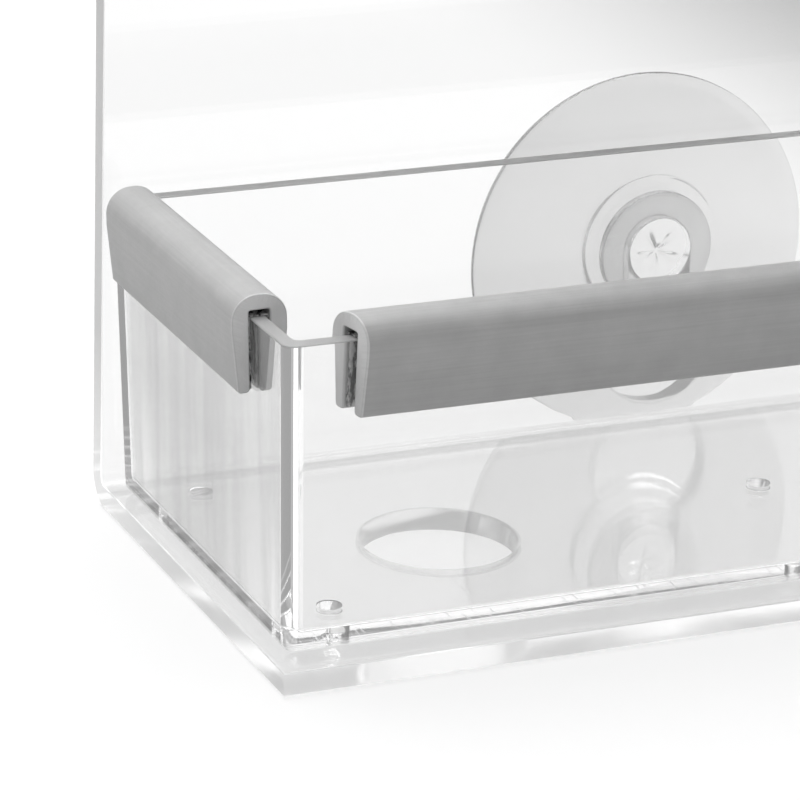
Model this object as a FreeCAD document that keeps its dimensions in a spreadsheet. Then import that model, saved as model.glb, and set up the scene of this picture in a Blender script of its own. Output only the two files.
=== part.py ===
import FreeCAD, Part
import math
import os
import re
import Sketcher

# Clear acrylic window bird feeder, in millimetres.
#
# One bent acrylic sheet makes the floor, the back panel and the roof.  A moulded seed tray slides in
# from the front and stands on the floor.  Grey rubber channels are glued over three of its four walls
# as perches.  Three mushroom-headed suction cups hang in keyhole slots in the back panel.
#
# Frame: +X to the right, +Y towards the window, +Z up.  The origin is on the underside of the floor,
# at the middle of the sheet's width and of its depth.

SIZES = {
    # bent sheet
    "house_width": 160.0,        # length of the sheet's bends
    "house_depth": 68.3,         # front edge of the floor to the back face of the panel
    "house_height": 150.0,       # underside of the floor to the virtual top corner of the roof bend
    "sheet_gauge": 3.0,          # thickness of the acrylic
    "bend_radius": 1.2,          # inside radius of both bends
    "roof_length": 77.0,         # virtual top corner to the front edge, along the roof's top
    "roof_fall": 12.0,           # slope of the roof towards its front edge, degrees
    "finger_bore": 20.0,         # holes in the floor for pushing the tray up
    "finger_inset": 33.0,        # finger holes inside each side edge of the sheet
    "finger_setback": 30.8,      # finger holes behind the floor's front edge
    # keyhole slots and the cups in them
    "keyhole_bore": 17.0,        # round end that the cup's head passes through
    "slot_width": 9.2,           # narrow end that the cup's neck hangs in
    "slot_drop": 13.4,           # centre of the narrow end down to the centre of the round end
    "keyhole_rise": 2.5,         # lower keyhole's round end above the floor
    "upper_cup_drop": 33.0,      # axes of the two upper cups below the virtual top corner
    "upper_cup_inset": 30.0,     # upper cups inside each side edge of the sheet
    "cup_diameter": 50.0,
    "cup_reach": 5.0,            # back face of the panel to the window
    "cup_lip": 1.2,              # thickness of the disc's edge
    "lip_width": 1.6,            # flat ring that seals on the window
    "disc_gauge": 2.0,           # thickness of the disc at its middle
    "boss_margin": 1.5,          # boss past the keyhole's round end, on the radius
    "boss_height": 1.2,
    "neck_clearance": 0.1,       # neck to slot, on the radius
    "cup_play": 0.25,            # panel to the head and to the boss
    "head_clearance": 0.2,       # head to the keyhole's round end, on the radius
    "head_thickness": 1.5,
    "head_round": 0.5,
    # seed tray
    "side_inset": 0.4,           # rim of the tray inside the sheet's side edge
    "front_inset": 3.0,          # rim of the tray behind the floor's front edge
    "head_gap": 0.05,            # rim of the tray in front of the lower cup's head
    "seat_gap": 0.1,             # underside of the tray above the floor
    "tray_height": 39.8,
    "tray_wall": 2.0,
    "tray_floor": 2.2,
    "tray_draft": 2.1,           # lean of each wall, degrees
    "tray_corner": 1.6,          # outside radius of the upright corners
    "tray_foot_round": 1.5,      # outside radius under the walls
    "tray_inner_round": 0.8,     # inside radius of the corners
    "drain_bore": 3.0,
    "drain_inset": 10.5,         # corner drain holes inside the rim's outer edge
    # rubber perches and their adhesive
    "trim_width": 7.0,
    "trim_foot_width": 5.6,      # width over the two legs at their lower edge
    "trim_height": 12.3,
    "trim_web": 2.0,             # rubber above the slot
    "trim_shoulder": 4.6,        # top of the trim down to its widest place
    "trim_crown": 0.3,           # flat left each side of the ridge of the rounded top
    "trim_foot_round": 0.5,
    "glue_film": 0.2,            # adhesive each side of the wall
    "glue_gap": 0.05,            # free space each side of the film
    "glue_margin": 0.4,          # rubber past the adhesive at each end and below
    "rim_void": 1.0,             # hollow left between the rim and the end of the slot
    "side_trim_gap": 10.8,       # side perches end this far behind the rim's front
    "rear_trim_gap": 5.4,        # and this far in front of the rim's rear
    "front_trim_gap": 9.4,       # front perch ends this far from each side of the rim
}

WORD = re.compile(r"[a-z]+(?:_[a-z]+)+")


def make_sheet(doc):
    """Write every driving dimension into its own aliased cell."""
    sheet = doc.addObject("Spreadsheet::Sheet", "Sizes")
    for row, (alias, value) in enumerate(SIZES.items(), start=1):
        sheet.set("A%d" % row, alias)
        sheet.set("B%d" % row, str(value))
        sheet.setAlias("B%d" % row, alias)
    doc.recompute()
    return sheet


def formula(text):
    """Turn a plain formula of size names into one that reads the cells."""
    return WORD.sub(lambda found: "Sizes." + found.group(0), text)


def bind(item, prop, text):
    item.setExpression(prop, formula(text))


def new_body(doc, label):
    body = doc.addObject("PartDesign::Body", label)
    body.Label = label
    return body


def new_sketch(body, name, role, offset=None):
    """Sketch on one of the body's own origin planes, moved along the plane's normal."""
    sketch = body.newObject("Sketcher::SketchObject", name)
    plane = [item for item in body.Origin.OriginFeatures if item.Role == role][0]
    sketch.AttachmentSupport = [(plane, "")]
    sketch.MapMode = "FlatFace"
    if offset is not None:
        bind(sketch, "AttachmentOffset.Base.z", offset)
    return sketch


def pin_point(sketch, geometry, position, across, up):
    """Fix a sketch point by two formulas, measured from the sketch's origin."""
    place = sketch.addConstraint(Sketcher.Constraint("DistanceX", -1, 1, geometry, position, 1.0))
    bind(sketch, "Constraints[%d]" % place, across)
    place = sketch.addConstraint(Sketcher.Constraint("DistanceY", -1, 1, geometry, position, 1.0))
    bind(sketch, "Constraints[%d]" % place, up)


def outline(sketch, points):
    """Closed outline of straight sides through points that are pairs of formulas."""
    count = len(points)
    corners = []
    for index in range(count):
        turn = 2.0 * math.pi * index / count
        corners.append(FreeCAD.Vector(math.cos(turn), math.sin(turn), 0))
    sides = []
    for index in range(count):
        line = Part.LineSegment(corners[index], corners[(index + 1) % count])
        sides.append(sketch.addGeometry(line, False))
    for index in range(count):
        following = sides[(index + 1) % count]
        sketch.addConstraint(Sketcher.Constraint("Coincident", sides[index], 2, following, 1))
    for side, (across, up) in zip(sides, points):
        pin_point(sketch, side, 1, across, up)


def rings(sketch, circles):
    """Circles given as centre across, centre up and diameter formulas."""
    for across, up, diameter in circles:
        circle = Part.Circle(FreeCAD.Vector(0, 0, 0), FreeCAD.Vector(0, 0, 1), 1.0)
        index = sketch.addGeometry(circle, False)
        pin_point(sketch, index, 3, across, up)
        place = sketch.addConstraint(Sketcher.Constraint("Diameter", index, 1.0))
        bind(sketch, "Constraints[%d]" % place, diameter)


def pad(body, name, sketch, length, symmetric=False, taper=None):
    feature = body.newObject("PartDesign::Pad", name)
    feature.Profile = sketch
    bind(feature, "Length", length)
    if symmetric:
        feature.SideType = "Symmetric"
    if taper is not None:
        bind(feature, "TaperAngle", taper)
    body.Document.recompute()
    return feature


def pocket(body, name, sketch, length, reverse=False, taper=None):
    """Cut a sketch into the body, and make sure that something was removed."""
    before = body.Shape.Volume
    feature = body.newObject("PartDesign::Pocket", name)
    feature.Profile = sketch
    feature.Reversed = reverse
    bind(feature, "Length", length)
    if taper is not None:
        bind(feature, "TaperAngle", taper)
    body.Document.recompute()
    if not body.Shape.Volume < before:
        raise RuntimeError(name + " cuts nothing")
    return feature


def round_edges(body, name, radius, chosen):
    """Round every edge of the body's tip for which chosen(edge) is true."""
    base = body.Tip
    names = []
    for index, edge in enumerate(base.Shape.Edges, start=1):
        if chosen(edge):
            names.append("Edge%d" % index)
    if not names:
        raise RuntimeError(name + " finds no edge")
    feature = body.newObject("PartDesign::Fillet", name)
    feature.Base = (base, names)
    bind(feature, "Radius", radius)
    body.Document.recompute()
    return feature


def runs_along(edge, direction, tolerance=0.1):
    """True for a straight edge within a few degrees of a direction."""
    if len(edge.Vertexes) != 2:
        return False
    span = edge.Vertexes[1].Point - edge.Vertexes[0].Point
    straight = abs(span.Length - edge.Length) < 0.001
    return straight and abs(span.dot(direction)) > (1.0 - tolerance) * span.Length


def place(body, across, back, up, yaw="0", lean="0"):
    """Place a body by formulas: its origin, its turn about Z, then its lean about its own X."""
    text = "create(<<placement>>; create(<<vector>>; %s; %s; %s); create(<<rotation>>; %s; 0; %s))"
    bind(body, "Placement", text % (across, back, up, yaw, lean))


# Shared formulas, all in the frame above.
FLOOR_FRONT = "(-house_depth / 2)"
PANEL_BACK = "(house_depth / 2)"
PANEL_FRONT = "(house_depth / 2 - sheet_gauge)"
TRAY_BASE = "(sheet_gauge + seat_gap)"
RIM_LEVEL = "(sheet_gauge + seat_gap + tray_height)"
RIM_FRONT = "(front_inset - house_depth / 2)"
REAR_GAP = "(cup_play + head_thickness + head_gap)"
RIM_REAR = "(house_depth / 2 - sheet_gauge - %s)" % REAR_GAP
RIM_HALF_WIDTH = "(house_width / 2 - side_inset)"
RIM_HALF_DEPTH = "((house_depth - sheet_gauge - %s - front_inset) / 2)" % REAR_GAP
TRAY_MIDDLE = "((front_inset - sheet_gauge - %s) / 2)" % REAR_GAP
SLOT_HALF = "(tray_wall / 2 + glue_film + 2 * glue_gap)"
TRIM_TOP = "(trim_web + rim_void)"
TRIM_FOOT = "(trim_web + rim_void - trim_height)"
SIDE_TRIM_LENGTH = "(2 * %s - side_trim_gap - rear_trim_gap)" % RIM_HALF_DEPTH
SIDE_TRIM_MIDDLE = "(%s - rear_trim_gap - %s / 2)" % (RIM_REAR, SIDE_TRIM_LENGTH)
FRONT_TRIM_LENGTH = "(2 * %s - 2 * front_trim_gap)" % RIM_HALF_WIDTH
SIDE_WALL_MIDDLE = "(%s - tray_wall / 2)" % RIM_HALF_WIDTH
FRONT_WALL_MIDDLE = "(%s + tray_wall / 2)" % RIM_FRONT

UPPER_OFFSET = "(house_width / 2 - upper_cup_inset)"
UPPER_LEVEL = "house_height - upper_cup_drop"
LOWER_LEVEL = "sheet_gauge + keyhole_rise + keyhole_bore / 2 + slot_drop"
BOSS_RADIUS = "(keyhole_bore / 2 + boss_margin)"

CUPS = {
    "suction_cup_upper_left": ("-" + UPPER_OFFSET, UPPER_LEVEL),
    "suction_cup_upper_right": (UPPER_OFFSET, UPPER_LEVEL),
    "suction_cup_lower": ("0", LOWER_LEVEL),
}

X_AXIS = FreeCAD.Vector(1, 0, 0)
Z_AXIS = FreeCAD.Vector(0, 0, 1)


def rectangle(across, low, high, half="0"):
    """Corners of a rectangle about a centre line, from one height to another."""
    left = "%s - %s" % (across, half)
    right = "%s + %s" % (across, half)
    return [(left, low), (right, low), (right, high), (left, high)]


def make_housing(doc):
    """One sheet, bent up into the back panel and forward into the sloping roof."""
    body = new_body(doc, "housing")
    roof_drop = "sin(roof_fall * 1deg)"
    roof_run = "cos(roof_fall * 1deg)"
    tip_across = "%s - roof_length * %s" % (PANEL_BACK, roof_run)
    tip_up = "house_height - roof_length * %s" % roof_drop
    inner_fold = "sheet_gauge * (%s + (1 + %s) * tan(roof_fall * 1deg))" % (roof_run, roof_drop)
    profile = new_sketch(body, "SheetProfile", "YZ_Plane")
    outline(profile, [
        (FLOOR_FRONT, "0"),
        (PANEL_BACK, "0"),
        (PANEL_BACK, "house_height"),
        (tip_across, tip_up),
        ("%s + sheet_gauge * %s" % (tip_across, roof_drop),
         "%s - sheet_gauge * %s" % (tip_up, roof_run)),
        (PANEL_FRONT, "house_height - " + inner_fold),
        (PANEL_FRONT, "sheet_gauge"),
        (FLOOR_FRONT, "sheet_gauge"),
    ])
    pad(body, "BentSheet", profile, "house_width", symmetric=True)

    # the outer side of a bend is its two edges on the panel's back face, the inner side on its front
    back = SIZES["house_depth"] / 2
    front = back - SIZES["sheet_gauge"]

    def on_face(depth):
        return lambda edge: runs_along(edge, X_AXIS) and abs(edge.CenterOfMass.y - depth) < 0.01

    round_edges(body, "OuterBends", "bend_radius + sheet_gauge", on_face(back))
    round_edges(body, "InnerBends", "bend_radius", on_face(front))

    bores = new_sketch(body, "KeyholeBores", "XZ_Plane", "-" + PANEL_FRONT)
    rings(bores, [(x, z + " - slot_drop", "keyhole_bore") for x, z in CUPS.values()])
    pocket(body, "KeyholeRounds", bores, "2 * sheet_gauge")
    necks = new_sketch(body, "KeyholeNecks", "XZ_Plane", "-" + PANEL_FRONT)
    for x, z in CUPS.values():
        outline(necks, rectangle(x, z + " - slot_drop", z, "slot_width / 2"))
    pocket(body, "KeyholeSlots", necks, "2 * sheet_gauge")
    ends = new_sketch(body, "KeyholeEnds", "XZ_Plane", "-" + PANEL_FRONT)
    rings(ends, [(x, z, "slot_width") for x, z in CUPS.values()])
    pocket(body, "KeyholeTops", ends, "2 * sheet_gauge")

    fingers = new_sketch(body, "FingerHoles", "XY_Plane")
    setback = FLOOR_FRONT + " + finger_setback"
    across = "(house_width / 2 - finger_inset)"
    rings(fingers, [(sign + across, setback, "finger_bore") for sign in ("-", "+")])
    pocket(body, "FingerBores", fingers, "2 * sheet_gauge", reverse=True)
    return body


def make_tray(doc):
    """Moulded open tray with leaning walls, rounded corners and drain holes."""
    body = new_body(doc, "seed_tray")
    shrink = "tray_height * tan(tray_draft * 1deg)"
    half_width = "(%s - %s)" % (RIM_HALF_WIDTH, shrink)
    half_depth = "(%s - %s)" % (RIM_HALF_DEPTH, shrink)
    foot = new_sketch(body, "TrayFoot", "XY_Plane")
    outline(foot, rectangle("0", "-" + half_depth, half_depth, half_width))
    pad(body, "TrayBlock", foot, "tray_height", taper="tray_draft")
    height = SIZES["tray_height"]
    round_edges(body, "TrayCorners", "tray_corner", lambda edge: runs_along(edge, Z_AXIS))
    round_edges(body, "TrayFootRound", "tray_foot_round",
                lambda edge: edge.BoundBox.ZMax < 0.01)

    rim = new_sketch(body, "TrayMouth", "XY_Plane", "tray_height")
    inner_width = "(%s - tray_wall)" % RIM_HALF_WIDTH
    inner_depth = "(%s - tray_wall)" % RIM_HALF_DEPTH
    outline(rim, rectangle("0", "-" + inner_depth, inner_depth, inner_width))
    pocket(body, "TrayHollow", rim, "tray_height - tray_floor", taper="-tray_draft")
    inside = SIZES["house_width"] / 2 - SIZES["side_inset"] - SIZES["tray_wall"] / 2

    def inner_corner(edge):
        box = edge.BoundBox
        upright = runs_along(edge, Z_AXIS) and box.ZMax > height - 0.01
        floor_line = abs(box.ZMax - SIZES["tray_floor"]) < 0.01 and box.ZLength < 0.01
        sharp = len(edge.Vertexes) == 2 and abs(edge.CenterOfMass.x) < inside
        return sharp and (floor_line or (upright and box.ZMin > SIZES["tray_floor"] - 0.01))

    round_edges(body, "TrayInnerRound", "tray_inner_round", inner_corner)

    drains = new_sketch(body, "DrainHoles", "XY_Plane")
    across = "(%s - drain_inset)" % RIM_HALF_WIDTH
    along = "(%s - drain_inset)" % RIM_HALF_DEPTH
    holes = [("0", "0", "drain_bore")]
    for side in ("-", "+"):
        for end in ("-", "+"):
            holes.append((side + across, end + along, "drain_bore"))
    rings(drains, holes)
    pocket(body, "DrainBores", drains, "2 * tray_floor", reverse=True)
    place(body, "0", TRAY_MIDDLE, TRAY_BASE)
    return body


def make_trim(doc, label, length):
    """Rubber channel along its own X; its origin is the middle of the wall's rim."""
    body = new_body(doc, label)
    profile = new_sketch(body, label + "_profile", "YZ_Plane")
    outline(profile, [
        ("-trim_foot_width / 2", TRIM_FOOT),
        ("-trim_width / 2", TRIM_TOP + " - trim_shoulder"),
        ("-trim_width / 2", TRIM_TOP),
        ("trim_width / 2", TRIM_TOP),
        ("trim_width / 2", TRIM_TOP + " - trim_shoulder"),
        ("trim_foot_width / 2", TRIM_FOOT),
        (SLOT_HALF, TRIM_FOOT),
        (SLOT_HALF, "rim_void"),
        ("-" + SLOT_HALF, "rim_void"),
        ("-" + SLOT_HALF, TRIM_FOOT),
    ])
    pad(body, label + "_strip", profile, length, symmetric=True)
    top = SIZES["trim_web"] + SIZES["rim_void"]
    low = top - SIZES["trim_height"]

    def at_height(level):
        return lambda edge: runs_along(edge, X_AXIS) and abs(edge.CenterOfMass.z - level) < 0.01

    round_edges(body, label + "_top", "trim_width / 2 - trim_crown", at_height(top))
    round_edges(body, label + "_feet", "trim_foot_round", at_height(low))
    return body


def make_glue(doc, label, length):
    """Film of clear adhesive between a wall and its perch; length is the perch's."""
    body = new_body(doc, label)
    inner = "(tray_wall / 2 + glue_gap)"
    outer = "(tray_wall / 2 + glue_gap + glue_film)"
    foot = "(%s + glue_margin)" % TRIM_FOOT
    profile = new_sketch(body, label + "_profile", "YZ_Plane")
    outline(profile, [
        ("-" + outer, foot),
        ("-" + outer, "2 * glue_gap + glue_film"),
        (outer, "2 * glue_gap + glue_film"),
        (outer, foot),
        (inner, foot),
        (inner, "2 * glue_gap"),
        ("-" + inner, "2 * glue_gap"),
        ("-" + inner, foot),
    ])
    pad(body, label + "_film", profile, "%s - 2 * glue_margin" % length, symmetric=True)
    return body


def make_perches(doc):
    """Three perches and their adhesive, each leaning with the wall that it sits on."""
    left = "-" + SIDE_WALL_MIDDLE
    right = SIDE_WALL_MIDDLE
    bodies = []
    for side, across, turn in (("left", left, "-90"), ("right", right, "90")):
        trim = make_trim(doc, "perch_trim_" + side, SIDE_TRIM_LENGTH)
        place(trim, across, SIDE_TRIM_MIDDLE, RIM_LEVEL, yaw=turn, lean="tray_draft")
        glue = make_glue(doc, "trim_adhesive_" + side, SIDE_TRIM_LENGTH)
        place(glue, across, SIDE_TRIM_MIDDLE, RIM_LEVEL, yaw=turn, lean="tray_draft")
        bodies += [trim, glue]
    trim = make_trim(doc, "perch_trim_front", FRONT_TRIM_LENGTH)
    place(trim, "0", FRONT_WALL_MIDDLE, RIM_LEVEL, lean="tray_draft")
    glue = make_glue(doc, "trim_adhesive_front", FRONT_TRIM_LENGTH)
    place(glue, "0", FRONT_WALL_MIDDLE, RIM_LEVEL, lean="tray_draft")
    return bodies + [trim, glue]


def make_cup(doc, label, across, level):
    """Suction cup turned about its own Y axis; its origin is on the panel's back face."""
    body = new_body(doc, label)
    head_back = "-(sheet_gauge + cup_play)"
    head_front = "-(sheet_gauge + cup_play + head_thickness)"
    boss_back = "(cup_play + boss_height)"
    head = "(keyhole_bore / 2 - head_clearance)"
    neck = "(slot_width / 2 - neck_clearance)"
    profile = new_sketch(body, label + "_profile", "XY_Plane")
    outline(profile, [
        ("0", head_front),
        (head, head_front),
        (head, head_back),
        (neck, head_back),
        (neck, "cup_play"),
        (BOSS_RADIUS, "cup_play"),
        (BOSS_RADIUS, boss_back),
        ("cup_diameter / 2", "cup_reach - cup_lip"),
        ("cup_diameter / 2", "cup_reach"),
        ("cup_diameter / 2 - lip_width", "cup_reach"),
        (BOSS_RADIUS, boss_back + " + disc_gauge"),
        ("0", boss_back + " + disc_gauge"),
    ])
    turned = body.newObject("PartDesign::Revolution", label + "_turned")
    turned.Profile = profile
    turned.ReferenceAxis = (profile, ["V_Axis"])
    turned.Angle = 360.0
    doc.recompute()
    head_front_face = -(SIZES["sheet_gauge"] + SIZES["cup_play"] + SIZES["head_thickness"])
    round_edges(body, label + "_head_round", "head_round",
                lambda edge: edge.BoundBox.YMax < head_front_face + 0.01 and edge.Length > 1)
    place(body, across, PANEL_BACK, level)
    return body


def check(doc, bodies):
    """Stop before anything is written if a feature failed or a solid isn't sound."""
    for item in doc.Objects:
        if "Invalid" in item.State or "Error" in item.State:
            raise RuntimeError(item.Name + " failed: " + item.getStatusString())
    for body in bodies:
        shape = body.Shape
        if shape.isNull() or not shape.isValid() or len(shape.Solids) != 1:
            raise RuntimeError(body.Label + " is not one valid solid")


def main():
    doc = FreeCAD.newDocument("WindowFeeder")
    make_sheet(doc)
    bodies = [make_housing(doc), make_tray(doc)]
    bodies += make_perches(doc)
    for label, (across, level) in CUPS.items():
        bodies.append(make_cup(doc, label, across, level))
    doc.recompute()
    check(doc, bodies)
    os.makedirs("parts", exist_ok=True)
    for body in bodies:
        body.Shape.exportStep(os.path.join("parts", body.Label + ".step"))
        box = body.Shape.BoundBox
        print("%-26s %9.1f mm3" % (body.Label, body.Shape.Volume),
              [round(v, 2) for v in (box.XMin, box.XMax, box.YMin, box.YMax, box.ZMin, box.ZMax)])


main()
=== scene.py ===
import math

import bmesh
import bpy
import numpy as np
from mathutils import Matrix, Vector, noise
from mathutils.geometry import delaunay_2d_cdt


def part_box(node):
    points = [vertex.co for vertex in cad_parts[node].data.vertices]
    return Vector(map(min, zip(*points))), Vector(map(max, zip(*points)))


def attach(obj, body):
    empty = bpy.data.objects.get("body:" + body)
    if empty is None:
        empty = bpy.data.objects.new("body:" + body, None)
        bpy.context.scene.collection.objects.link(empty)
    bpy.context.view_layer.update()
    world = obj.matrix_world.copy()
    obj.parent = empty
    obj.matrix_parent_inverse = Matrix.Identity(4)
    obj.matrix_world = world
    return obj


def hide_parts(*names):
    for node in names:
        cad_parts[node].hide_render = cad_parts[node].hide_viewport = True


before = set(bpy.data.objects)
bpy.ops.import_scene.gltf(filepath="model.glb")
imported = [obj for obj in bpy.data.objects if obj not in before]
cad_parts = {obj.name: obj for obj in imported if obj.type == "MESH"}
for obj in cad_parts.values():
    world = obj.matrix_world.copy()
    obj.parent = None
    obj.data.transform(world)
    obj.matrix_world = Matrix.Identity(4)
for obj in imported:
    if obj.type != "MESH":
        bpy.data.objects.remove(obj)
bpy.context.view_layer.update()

# Clear acrylic window bird feeder. Lengths are in millimetres, in the frame's own axes, up to the floor,
# light and camera, which are in metres. make_object scales every mesh to metres.
MM = 0.001


def box_mm(node):
    low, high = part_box(node)
    return low / MM, high / MM


# ---------------------------------------------------------------- sizes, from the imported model
house_low, house_high = box_mm("housing")
tray_low, tray_high = box_mm("seed_tray")
front_low, front_high = box_mm("perch_trim_front")
left_low, left_high = box_mm("perch_trim_left")
CUP_NODES = ("suction_cup_upper_left", "suction_cup_upper_right", "suction_cup_lower")
cup_boxes = {name: box_mm(name) for name in CUP_NODES}
cup_low, cup_high = cup_boxes["suction_cup_lower"]

HALF_WIDTH = house_high.x
BACK = house_high.y
FLOOR_FRONT = -BACK
GAUGE = 3.0                      # thickness of the sheet
BEND = 1.2                       # inside radius of the bends
SHEET_EDGE = 0.18                # rounding of the sheet's cut edges
ROOF_FALL = math.radians(12.0)
ROOF_TIP = house_low.y           # the roof reaches furthest forward
FINGER_X = HALF_WIDTH - 33.0     # finger holes, either side of the middle
FINGER_SETBACK = 30.8            # and behind the floor's front edge
FINGER_RADIUS = 10.0
FINGER_FLARE = 3.0               # their edge is worn this many times wider than a cut edge
KEYHOLE_RADIUS = 8.5
SLOT_HALF = 4.6                  # half width of the keyhole's slot
SLOT_DROP = 13.4                 # cup's axis down to the keyhole's round end
PANEL_FRONT = BACK - GAUGE
CUPS = {name: ((low.x + high.x) / 2, (low.z + high.z) / 2) for name, (low, high) in cup_boxes.items()}
CUP_RADIUS = (cup_high.x - cup_low.x) / 2
CUP_REACH = cup_high.y - BACK    # back of the panel to the window
CUP_PLAY = 0.25                  # panel to the cup's head, and to its boss
HEAD_THICKNESS = 1.5
BOSS_RADIUS = 10.0
CUP_SAG, CUP_LEAN = 1.9, 1.0     # the disc's fall behind the panel, and the head's shift in front of it

RIM_HALF_X = tray_high.x
RIM_FRONT, RIM_REAR = tray_low.y, tray_high.y
RIM_HALF_Y = (RIM_REAR - RIM_FRONT) / 2
TRAY_MIDDLE = (RIM_REAR + RIM_FRONT) / 2
TRAY_BASE = tray_low.z
TRAY_HEIGHT = tray_high.z - tray_low.z
RIM = tray_high.z
WALL = 2.0
TRAY_FLOOR = 2.2
DRAFT = math.radians(2.1)
TRAY_CORNER, TRAY_FOOT = 1.6, 1.5        # outside radii
TRAY_INNER_CORNER = 0.8
TRAY_RIM_EDGE, DRAIN_EDGE = 0.2, 0.15
DRAIN_RADIUS = 1.5
DRAIN_INSET = 10.5               # corner drains, in from the rim's outer faces

TRIM_HEIGHT = 12.3
TRIM_HALF = 3.5                  # half width at the shoulder
TRIM_FOOT_HALF = 2.8             # and at the feet
TRIM_ROUND = 3.2                 # radius along the top
TRIM_TOP = 3.0                   # top of the perch above the rim
TRIM_SHOULDER = 4.6              # top down to the shoulder
TRIM_SLOT = 1.3                  # half width of the slot
TRIM_EDGE = 0.2                  # rounding at the cut ends
RIM_VOID = 1.0                   # rim to the end of the slot
GLUE_MARGIN = 0.5                # perch past the adhesive's ragged ends
FRONT_SKEW, SIDE_SKEW = 1.7, 0.3 # how much further a perch's inner side runs at its oblique cuts
FRONT_LENGTH = front_high.x - front_low.x
SIDE_LENGTH = left_high.y - left_low.y
SIDE_MIDDLE = (left_high.y + left_low.y) / 2


# ---------------------------------------------------------------- mesh helpers
def smooth_normals(mesh):
    """Vertex normals weighted by face area, so flat faces stay flat beside their rounded edges."""
    count = len(mesh.vertices)
    total = np.zeros((count, 3))
    for face in mesh.polygons:
        total[list(face.vertices)] += np.array(face.normal) * face.area
    length = np.linalg.norm(total, axis=1, keepdims=True)
    total = total / np.where(length > 0, length, 1.0)
    mesh.normals_split_custom_set_from_vertices([tuple(v) for v in total])


def make_object(name, verts, faces, slots=None, uv=None):
    """Mesh object from millimetre points, with a material slot number for each face."""
    mesh = bpy.data.meshes.new(name)
    mesh.from_pydata([tuple(c * MM for c in v) for v in verts], [], faces)
    if slots is not None:
        mesh.polygons.foreach_set("material_index", slots)
    mesh.polygons.foreach_set("use_smooth", [True] * len(mesh.polygons))
    work = bmesh.new()
    work.from_mesh(mesh)
    bmesh.ops.recalc_face_normals(work, faces=work.faces)
    work.to_mesh(mesh)
    work.free()
    if uv is not None:
        layer = mesh.uv_layers.new(name="surface")
        for loop in mesh.loops:
            layer.data[loop.index].uv = uv[loop.vertex_index]
    mesh.update()
    smooth_normals(mesh)
    piece = bpy.data.objects.new(name, mesh)
    bpy.context.scene.collection.objects.link(piece)
    return piece


def give(piece, *materials):
    for material in materials:
        piece.data.materials.append(material)


def bevel_steps(width, count):
    """(inset, depth) pairs of a quarter round, from the flat face to the side wall."""
    steps = []
    for index in range(count + 1):
        turn = math.pi / 2 * index / count
        steps.append((width * (1 - math.sin(turn)), width * (1 - math.cos(turn))))
    return steps


def inside(point, loop):
    """True where the point is inside the closed loop."""
    found = False
    for (x0, y0), (x1, y1) in zip(loop, loop[1:] + loop[:1]):
        if (y0 > point.y) != (y1 > point.y) and point.x < x0 + (x1 - x0) * (point.y - y0) / (y1 - y0):
            found = not found
    return found


def plate(outline, holes, lines, place, gauge, edge):
    """Plate of one thickness: flat faces triangulated between rounded edges.

    outline and each hole are functions of the inset that return their points, always the same number.
    lines are pairs of the outline's points that the flat faces are split along. Material slots: 0 for
    the flat faces, 1 for the outline's edge and 2 for the holes' edges.
    place(u, v, w) gives the point in space; w runs from 0 on the first face to the gauge on the other.
    """
    loops = [outline] + holes
    flat = [loop(edge) for loop in loops]
    points = [Vector(p) for loop in flat for p in loop]
    edges = []
    start = 0
    for loop in flat:
        edges += [(start + i, start + (i + 1) % len(loop)) for i in range(len(loop))]
        start += len(loop)
    edges += lines
    found = delaunay_2d_cdt(points, edges, [], 0, 1e-7)
    source = [min(ids) for ids in found[3]]
    triangles = []
    for tri in found[2]:
        ids = [source[i] for i in tri]
        centre = sum((points[i] for i in ids), Vector((0.0, 0.0))) / 3
        if not any(inside(centre, loop) for loop in flat[1:]):
            area = (points[ids[1]] - points[ids[0]]).cross(points[ids[2]] - points[ids[0]])
            if abs(area) > 1e-9:
                triangles.append(ids if area > 0 else ids[::-1])
    steps = bevel_steps(edge, 3)
    rows = steps + [(inset, gauge - depth) for inset, depth in reversed(steps)]
    verts, faces, slots = [], [], []
    row_start = []
    for inset, depth in rows:
        row_start.append(len(verts))
        for loop in loops:
            verts += [place(u, v, depth) for u, v in loop(inset)]
    for tri in triangles:
        faces.append([row_start[0] + i for i in tri])
        slots.append(0)
        faces.append([row_start[-1] + i for i in reversed(tri)])
        slots.append(0)
    start = 0
    for number, loop in enumerate(flat):
        size = len(loop)
        for row in range(len(rows) - 1):
            for i in range(size):
                a, b = start + i, start + (i + 1) % size
                low, high = row_start[row], row_start[row + 1]
                faces.append([low + a, high + a, high + b, low + b])
                slots.append(1 if number == 0 else 2)
        start += size
    return verts, faces, slots


def circle(x, y, radius, count, flare=1.0):
    """Hole outline: clockwise, and the inset makes it larger. flare widens its rounded edge."""
    def points(inset):
        out = []
        for index in range(count):
            angle = -2 * math.pi * index / count
            reach = radius + flare * inset
            out.append((x + reach * math.cos(angle), y + reach * math.sin(angle)))
        return out
    return points


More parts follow.
